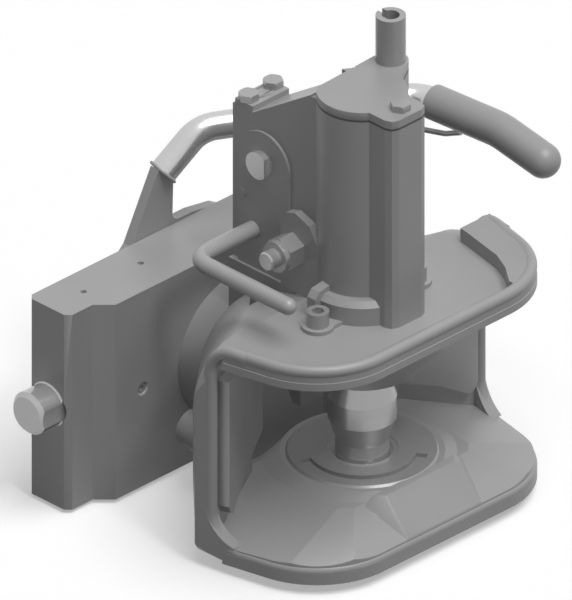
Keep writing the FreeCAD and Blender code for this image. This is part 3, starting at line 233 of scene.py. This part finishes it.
# %% How the tool marks run
MARK_SIZE = 4 * MM
MARK_DEPTH = 0.003 * MM
MARK_DETAIL = 1.0
MARK_CONTRAST = 0.04
STEEL_GLOSS_SWING = 0.14
ROUND_AN_UPRIGHT_PIN = (0.1, 0.1, 1)
ROUND_THE_SHANK = (0.1, 1, 0.1)
BACK_TO_FRONT = (1, 0.2, 1)
UP_AND_FORWARD = (1, 0.1, 0.1)
NO_DIRECTION = (1, 1, 1)


def machined(name, colour, marks_run, roughness, metallic):
    """Bare metal with tool marks, which are longer along an axis the smaller marks_run is there."""
    metal = Finish(name)
    marks = metal.blotches(MARK_SIZE, MARK_DETAIL, marks_run)
    dark = shade(colour, 1 - MARK_CONTRAST)
    light = shade(colour, 1 + MARK_CONTRAST)
    return metal.finish(Base_Color=metal.between(marks, dark, light),
                        Roughness=marks * STEEL_GLOSS_SWING + (roughness - STEEL_GLOSS_SWING / 2),
                        Normal=metal.relief(marks, MARK_DEPTH), Metallic=metallic)


# %% Machined steel, zinc, bronze
turned_steel = machined("turned steel", grey(0.5), ROUND_AN_UPRIGHT_PIN, roughness=0.24, metallic=0.5)
bright_tube = machined("bright drawn tube", grey(0.62), BACK_TO_FRONT, roughness=0.24, metallic=0.6)
ground_steel = machined("ground steel", grey(0.37), UP_AND_FORWARD, roughness=0.38, metallic=0.3)
zinc_steel = machined("zinc-plated steel", grey(0.4), NO_DIRECTION, roughness=0.32, metallic=0.35)
spring_steel = machined("spring steel", (0.2, 0.2, 0.21), NO_DIRECTION, roughness=0.35, metallic=0.6)
bearing_bronze = machined("bearing bronze", (0.45, 0.31, 0.15), ROUND_THE_SHANK, roughness=0.36,
                          metallic=0.7)
print("bare metals:", turned_steel.name, bright_tube.name, ground_steel.name, zinc_steel.name,
      spring_steel.name, bearing_bronze.name)

# %% [markdown]
# ## Rubber and plastic
# The sealing sheet under the cover and the sleeve on the handle are soft and dull. They get a broad sheen
# and a very fine grain, with no metal in them. The function for paint makes that too, because it's a sheen
# over a grain as well; a second function would only repeat it.

# %% Sheet and sleeve
sealing_sheet = painted("sealing sheet", grey(0.09), 1.5 * MM, 0.05 * MM, roughness=0.7)
grip_sleeve = painted("grip sleeve", grey(0.35), 1 * MM, 0.04 * MM, roughness=0.4)
print("soft materials:", sealing_sheet.name, grip_sleeve.name)

# %% [markdown]
# ## Who wears what
# Each solid takes one finish. The list is by finish, because that is how a workshop sorts the parts: into
# the paint booth, on to the bench bright, or out of a box of fasteners.

# %% Dress the pieces
WEARERS = {
    cast_paint: ["jaw_casting", "tower_housing"],
    plate_paint: ["slider_plate", "lever_plate", "tower_cover", "rear_lid"],
    tube_paint: ["hand_lever", "cable_tube"],
    bright_tube: ["handle_tube"],
    turned_steel: ["coupling_pin", "left_locking_pin", "right_locking_pin", "lift_shaft", "trigger_stud",
                   "left_drive_stud", "right_drive_stud", "lift_link_pin", "crank_link_pin", "cable_anchor",
                   "lower_bush", "guide_bush"],
    ground_steel: ["wear_disc", "left_wear_plate", "right_wear_plate", "friction_disc", "clamp_washer",
                   "lift_arm", "latch_cam", "remote_arm", "lever_crank", "link_plate", "trigger_lever"],
    zinc_steel: ["castle_nut", "split_pin", "retaining_ring", "guide_screws", "stop_bolts", "cover_bolt",
                 "lid_bolts", "tower_screws", "trigger_nut", "handle_bail"],
    spring_steel: ["left_lock_spring", "right_lock_spring", "closing_spring"],
    bearing_bronze: ["front_swivel_bush", "rear_swivel_bush"],
    sealing_sheet: ["cover_gasket"],
    grip_sleeve: ["handle_grip"],
}
for material, names in WEARERS.items():
    for name in names:
        mesh = nodes[name].data
        mesh.materials.clear()
        mesh.materials.append(material)
dressed = sum(len(names) for names in WEARERS.values())
print("dressed:", dressed, "of", len(nodes))

# %% [markdown]
# ## The weld on the handle
# The bent tube is welded on to the slanted horn of the lever plate. A weld is a row of small overlapping
# ripples round the joint. A ring whose sections swell and shrink in turn gives that row; carving each
# ripple would be slower and look no better.

# %% Helpers for modelling by operator
def leave_nothing_selected():
    bpy.ops.object.select_all(action="DESELECT")


def pick(piece, test):
    """Selects the faces of a piece in edit mode for which test(middle) is true."""
    bpy.ops.mesh.select_all(action="DESELECT")
    bpy.ops.object.mode_set(mode="OBJECT")
    for face in piece.data.polygons:
        face.select = test(face.center)
    bpy.ops.object.mode_set(mode="EDIT")


# %% The rippled ring
WELD_SECTIONS = 36
WELD_MAJOR = 10.4 * MM
WELD_MINOR = 1.0 * MM
WELD_SWELL = 1.25
SECTION_REACH = 1.15 * WELD_MINOR
TUBE_START = Vector((-14.2, 181.2, 119.8)) * MM
TUBE_HEADING = Vector((0.73, -0.18, 0.66)).normalized()
leave_nothing_selected()
turn_to_tube = TUBE_HEADING.to_track_quat("Z", "Y")
bpy.ops.mesh.primitive_torus_add(major_radius=WELD_MAJOR, minor_radius=WELD_MINOR,
                                 major_segments=WELD_SECTIONS, minor_segments=8)
weld = bpy.context.object
weld.name = "handle_weld"
bpy.ops.object.mode_set(mode="EDIT")
bpy.ops.mesh.select_mode(type="FACE")
for section in range(0, WELD_SECTIONS, 2):
    angle = 2 * math.pi * (section + 0.5) / WELD_SECTIONS
    middle = Vector((math.cos(angle), math.sin(angle), 0)) * WELD_MAJOR
    pick(weld, lambda spot, middle=middle: (spot - middle).length < SECTION_REACH)
    bpy.ops.transform.resize(value=(WELD_SWELL, WELD_SWELL, WELD_SWELL))
bpy.ops.object.mode_set(mode="OBJECT")
weld.data.transform(Matrix.Translation(TUBE_START) @ turn_to_tube.to_matrix().to_4x4())
bpy.ops.object.shade_smooth()
weld.data.materials.append(plate_paint)
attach(weld, "lock_handle")
print("weld faces:", len(weld.data.polygons))

# %% [markdown]
# ## The ramps of the lower lip
# The lower lip isn't one smooth funnel: the pattern maker built it from flat ramps that meet in soft
# creases and run out to the rim. Two discs and two bars are wrapped in their convex hull, which gives the
# plan of the lip, and its top is trimmed by one slanted plane for each ramp, as a plane would trim a
# wooden pattern. The front ramp runs straight across, so it's trimmed once; the others are trimmed on
# both sides. Shaping every ramp as a patch of its own would leave gaps to close.

# %% Helpers: trim by a plane, and soften the edges
CREASE_ANGLE = 6
SMOOTH_ANGLE = 25


def trim(points):
    """Cuts away what lies above the plane through three points in millimetres."""
    first, second, third = (Vector(point) * MM for point in points)
    upward = (second - first).cross(third - first).normalized()
    if upward.z < 0:
        upward.negate()
    bpy.ops.mesh.select_all(action="SELECT")
    bpy.ops.mesh.bisect(plane_co=first, plane_no=upward, use_fill=True, clear_outer=True)


def mirrored(points):
    return [(-x, y, z) for x, y, z in points]


def soften(piece, width, segments):
    """Rounds the creases of a trimmed block, in millimetres, and shades the rounds smooth."""
    leave_nothing_selected()
    bpy.context.view_layer.objects.active = piece
    piece.select_set(True)
    rounding = piece.modifiers.new("creases", "BEVEL")
    rounding.width = width * MM
    rounding.segments = segments
    rounding.limit_method = "ANGLE"
    rounding.angle_limit = math.radians(CREASE_ANGLE)
    bpy.ops.object.modifier_apply(modifier=rounding.name)
    bpy.ops.object.shade_smooth_by_angle(angle=math.radians(SMOOTH_ANGLE))


def cast_on(piece):
    """Paints an added form like the casting that it belongs to."""
    piece.data.materials.append(cast_paint)
    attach(piece, "jaw")


# %% Levels and plan of the lip
PLATFORM_LEVEL = -38.5
LIP_LEVEL = -58.5
RAMP_BASE = -66
LIP_FRONT = -82.5
LIP_INSET = 1.6
CORNER_X = 62.3
CORNER_Y = -18
CORNER_RADIUS = 64.5
CORNER_SIDES = 96
RAMP_BARS = [(134.5, 15), (118, 34)]
BAR_THICKNESS = 1
print("height of the ramps:", PLATFORM_LEVEL - LIP_LEVEL, "mm")

# %% The block in the plan of the lip
leave_nothing_selected()
height = (PLATFORM_LEVEL - RAMP_BASE) * MM
middle_level = (PLATFORM_LEVEL + RAMP_BASE) / 2 * MM
for side in (-1, 1):
    bpy.ops.mesh.primitive_cylinder_add(vertices=CORNER_SIDES, radius=(CORNER_RADIUS - LIP_INSET) * MM,
                                        depth=height,
                                        location=(side * CORNER_X * MM, CORNER_Y * MM, middle_level))
    bpy.context.object.name = "lip_ramps_corner"
for half_width, back in RAMP_BARS:
    bpy.ops.mesh.primitive_cube_add(size=1, location=(0, back * MM, middle_level),
                                    scale=(2 * half_width * MM, BAR_THICKNESS * MM, height))
    bpy.context.object.name = "lip_ramps_bar"
leave_nothing_selected()
for piece in bpy.context.scene.objects:
    piece.select_set(piece.name.startswith("lip_ramps"))
ramps = bpy.context.selected_objects[0]
bpy.context.view_layer.objects.active = ramps
bpy.ops.object.transform_apply(location=True, rotation=False, scale=True)
bpy.ops.object.join()
ramps = bpy.context.object
ramps.name = "lip_ramps"
bpy.ops.object.mode_set(mode="EDIT")
bpy.ops.mesh.select_all(action="SELECT")
bpy.ops.mesh.convex_hull()
bpy.ops.object.mode_set(mode="OBJECT")
print("faces of the hull:", len(ramps.data.polygons))

# %% Plane the ramps
SIDE_RAMP = [(-72, 17, PLATFORM_LEVEL), (-64, -40, PLATFORM_LEVEL), (-123.5, -32, LIP_LEVEL)]
CORNER_RAMP = [(-64, -40, PLATFORM_LEVEL), (-57.8, -46.3, PLATFORM_LEVEL), (-107.2, -62.2, LIP_LEVEL)]
FRONT_RAMP = [(-57.8, -48, PLATFORM_LEVEL), (-40, -48, PLATFORM_LEVEL),
              (-50, LIP_FRONT + LIP_INSET, LIP_LEVEL)]
CREASE_ROUND = 1.5
bpy.ops.object.mode_set(mode="EDIT")
for ramp in (SIDE_RAMP, CORNER_RAMP):
    trim(ramp)
    trim(mirrored(ramp))
trim(FRONT_RAMP)
bpy.ops.object.mode_set(mode="OBJECT")
soften(ramps, CREASE_ROUND, segments=3)
cast_on(ramps)
print("ramp faces:", len(ramps.data.polygons))

# %% [markdown]
# ## The tongue in the middle
# Between two slanted flanks a straight ramp runs up from the front edge to the wear disc, so that the
# towing eye slides up on to it. It's a wedge, trimmed out of a block in the same way: one plane for the
# top and one for each flank.

# %% The wedge
TONGUE_TOP = -33.6
TONGUE_REAR = -57
TONGUE_BACK = -50
TONGUE_HALF = 34
TONGUE_FRONT_HALF = 36
TONGUE_INSET = 1.4
TONGUE_FOOT = -58.1
TONGUE_CREASE = 0.9
BLOCK_HALF = 54
FLANK_FOOT = (-50, -50, -42)
leave_nothing_selected()
tongue_front = LIP_FRONT + TONGUE_INSET
block_middle = Vector((0, (tongue_front + TONGUE_BACK) / 2, (TONGUE_TOP + RAMP_BASE) / 2))
block_size = Vector((2 * BLOCK_HALF, TONGUE_BACK - tongue_front, TONGUE_TOP - RAMP_BASE))
bpy.ops.mesh.primitive_cube_add(size=1, location=block_middle * MM, scale=block_size * MM)
tongue = bpy.context.object
tongue.name = "lip_tongue"
bpy.ops.object.transform_apply(location=True, rotation=False, scale=True)
bpy.ops.object.mode_set(mode="EDIT")
trim([(-TONGUE_HALF, TONGUE_REAR, TONGUE_TOP), (TONGUE_HALF, TONGUE_REAR, TONGUE_TOP),
      (0, tongue_front, TONGUE_FOOT)])
flank = [(-TONGUE_HALF, TONGUE_REAR, TONGUE_TOP), (-TONGUE_FRONT_HALF, tongue_front, TONGUE_FOOT),
         FLANK_FOOT]
trim(flank)
trim(mirrored(flank))
bpy.ops.object.mode_set(mode="OBJECT")
soften(tongue, TONGUE_CREASE, segments=2)
cast_on(tongue)
print("tongue faces:", len(tongue.data.polygons))

# %% [markdown]
# ## The springs of the locking pins
# Each locking pin is pushed out by a coil spring at the bottom of its bore, and the spring gets shorter
# as the handle draws the pin in. A small circle that the Screw modifier winds round an axis is the
# quickest way to a coil. The coil stands in for the stiff one of the CAD model, because only a piece of
# our own can be squeezed. Its length and place are read from the stiff one's box.

# %% A coil
COIL_RADIUS = 6.8
WIRE_RADIUS = 1
WIRE_SIDES = 12
COIL_TURNS = 5
STEPS_IN_A_TURN = 24
WIRE_SMOOTH_ANGLE = 40


def coil(name, length):
    """A coil along Z from 0 to length, in metres, wound from a circle of wire."""
    leave_nothing_selected()
    bpy.ops.mesh.primitive_circle_add(vertices=WIRE_SIDES, radius=WIRE_RADIUS * MM,
                                      location=(COIL_RADIUS * MM, 0, WIRE_RADIUS * MM),
                                      rotation=(math.pi / 2, 0, 0))
    made = bpy.context.object
    made.name = name
    bpy.ops.object.transform_apply(location=True, rotation=True, scale=True)
    winding = made.modifiers.new("winding", "SCREW")
    winding.iterations = COIL_TURNS
    winding.screw_offset = (length - 2 * WIRE_RADIUS * MM) / COIL_TURNS
    winding.steps = winding.render_steps = STEPS_IN_A_TURN
    bpy.ops.object.modifier_apply(modifier=winding.name)
    bpy.ops.object.mode_set(mode="EDIT")
    bpy.ops.mesh.select_all(action="SELECT")
    bpy.ops.mesh.fill_holes(sides=0)
    bpy.ops.mesh.normals_make_consistent(inside=False)
    bpy.ops.object.mode_set(mode="OBJECT")
    bpy.ops.object.shade_smooth_by_angle(angle=math.radians(WIRE_SMOOTH_ANGLE))
    made.data.materials.append(spring_steel)
    return made


# %% One coil for each locking pin
for side, name in ((-1, "left"), (1, "right")):
    low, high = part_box(name + "_lock_spring")
    length = high[0] - low[0]
    seat = (low[0] if side > 0 else high[0], (low[1] + high[1]) / 2, (low[2] + high[2]) / 2)
    lock_coil = coil(name + "_lock_coil", length)
    outwards = Matrix.Rotation(side * math.pi / 2, 4, "Y")
    lock_coil.data.transform(Matrix.Translation(seat) @ outwards)
    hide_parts(name + "_lock_spring")
    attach(lock_coil, "slider")
    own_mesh(lock_coil)
    print("coil:", round(length / MM, 1), "mm long,", len(lock_coil.data.polygons), "faces")

# %% [markdown]
# ## Soft edges
# No real edge is perfectly sharp: paint and wear round it, and the round catches a line of light. A Bevel
# modifier on the plates rounds only the edges that turn by more than a set angle, so that curved faces
# stay as they are. Modelling each round by hand would give no more, and would be lost when the solids
# change.

# %% Round the edges that show
EDGE_ROUNDS = {"slider_plate": 0.8, "tower_cover": 0.8, "lever_plate": 0.6, "rear_lid": 0.5}
SHARP_ANGLE = 32
JOIN_WITHIN = 0.01 * MM


def round_edges(name, width):
    """Merges the loose triangles of a plate for its shading and rounds its sharp edges."""
    piece = nodes[name]
    weld_points = piece.modifiers.new("join corners", "WELD")
    weld_points.merge_threshold = JOIN_WITHIN
    rounding = piece.modifiers.new("round edges", "BEVEL")
    rounding.width = width * MM
    rounding.segments = 2
    rounding.limit_method = "ANGLE"
    rounding.angle_limit = math.radians(SHARP_ANGLE)
    rounding.harden_normals = True


for name, width in EDGE_ROUNDS.items():
    round_edges(name, width)
print("rounded:", ", ".join(EDGE_ROUNDS))

# %% [markdown]
# ## Floor and light
# A pale floor under the part catches its shadow. A broad sun from above does most of the work, and a
# small one draws the bright lines on round metal. A third sun shines from where the first does but casts
# no shadow, which keeps the inside of the mouth readable. The sky adds an even fill, so that a colour
# looks about as it is written. The camera and mirror-like surfaces see a white sky and a pale floor,
# through the ray type. To all other rays the floor is dark, so that upright faces stay darker than level
# ones, as they are in the picture.

# %% Which rays see the floor and the sky
def seen_directly(net):
    """1 for a camera ray and for one that a mirror-like surface sends on, and 0 for all others."""
    ray_type = net.node("ShaderNodeLightPath").outputs
    return Amount(net, ray_type["Is Camera Ray"]) + Amount(net, ray_type["Is Glossy Ray"])


# %% Floor
FLOOR_SIZE = 8
FLOOR_DROP = 3 * MM
FLOOR_BOUNCE = grey(0.12)
FLOOR_SEEN = grey(0.96)
FLOOR_GLOW = 0.13
leave_nothing_selected()
bpy.ops.mesh.primitive_plane_add(size=FLOOR_SIZE, location=(0, 0, cad_low[2] - FLOOR_DROP))
floor = bpy.context.object
floor.name = "studio_floor"
floor_paint = Finish("pale floor")
seen_floor = seen_directly(floor_paint)
floor.data.materials.append(floor_paint.finish(
    Base_Color=floor_paint.between(seen_floor, FLOOR_BOUNCE, FLOOR_SEEN), Roughness=1.0,
    Specular_IOR_Level=0.0, Emission_Color=floor_paint.between(seen_floor, grey(0), grey(1)),
    Emission_Strength=FLOOR_GLOW))
print("floor at:", round(cad_low[2] - FLOOR_DROP, 4))

# %% Sky
SKY_FILL = 0.13
sky = bpy.data.worlds.new("studio sky")
bpy.context.scene.world = sky
sky.use_nodes = True
sky_net = Net(sky.node_tree)
backdrop = sky.node_tree.nodes["Background"]
sky_net.feed(backdrop.inputs["Color"], (1, 1, 1, 1))
sky_net.feed(backdrop.inputs["Strength"], seen_directly(sky_net) * (1 - SKY_FILL) + SKY_FILL)
print("even fill of the sky:", SKY_FILL)


# %% Suns
OVERHEAD = (0.06, -0.3, 1)
FROM_THE_MOUTH = (-0.1, -0.6, 0.8)


def sun(name, from_direction, strength, width):
    """A sun that shines from the given direction, with a disc that is width degrees across."""
    lamp = bpy.data.lights.new(name, "SUN")
    lamp.energy = strength
    lamp.angle = math.radians(width)
    holder = bpy.data.objects.new(name, lamp)
    holder.rotation_euler = Vector(from_direction).to_track_quat("Z", "Y").to_euler()
    bpy.context.scene.collection.objects.link(holder)
    return holder


sun("overhead", OVERHEAD, strength=1.3, width=40)
sun("bright line", FROM_THE_MOUTH, strength=0.4, width=9)
inner_fill = sun("fill for the mouth", OVERHEAD, strength=0.9, width=40)
inner_fill.data.use_shadow = False

# %% [markdown]
# ## Camera
# The picture looks down at 30 degrees on to the left front corner, and its upright edges are exactly
# parallel. An orthographic camera gives that. A very long lens far away comes close, but the edges still
# lean together.

# %% Camera at the photograph's angle
AIM = Vector((-37.4, 37.4, 85.6)) * MM
VIEW_FROM = Vector((-0.612, -0.612, 0.5)).normalized()
PICTURE_HEIGHT = 415.8 * MM
CAMERA_DISTANCE = 3
camera = bpy.data.cameras.new("camera")
camera.type = "ORTHO"
camera.sensor_fit = "VERTICAL"
camera.ortho_scale = PICTURE_HEIGHT
eye = bpy.data.objects.new("camera", camera)
eye.location = AIM + VIEW_FROM * CAMERA_DISTANCE
eye.rotation_euler = VIEW_FROM.to_track_quat("Z", "Y").to_euler()
bpy.context.scene.collection.objects.link(eye)
bpy.context.scene.camera = eye
bpy.context.scene.view_settings.view_transform = "Standard"
print("height of the picture in metres:", round(PICTURE_HEIGHT, 4))
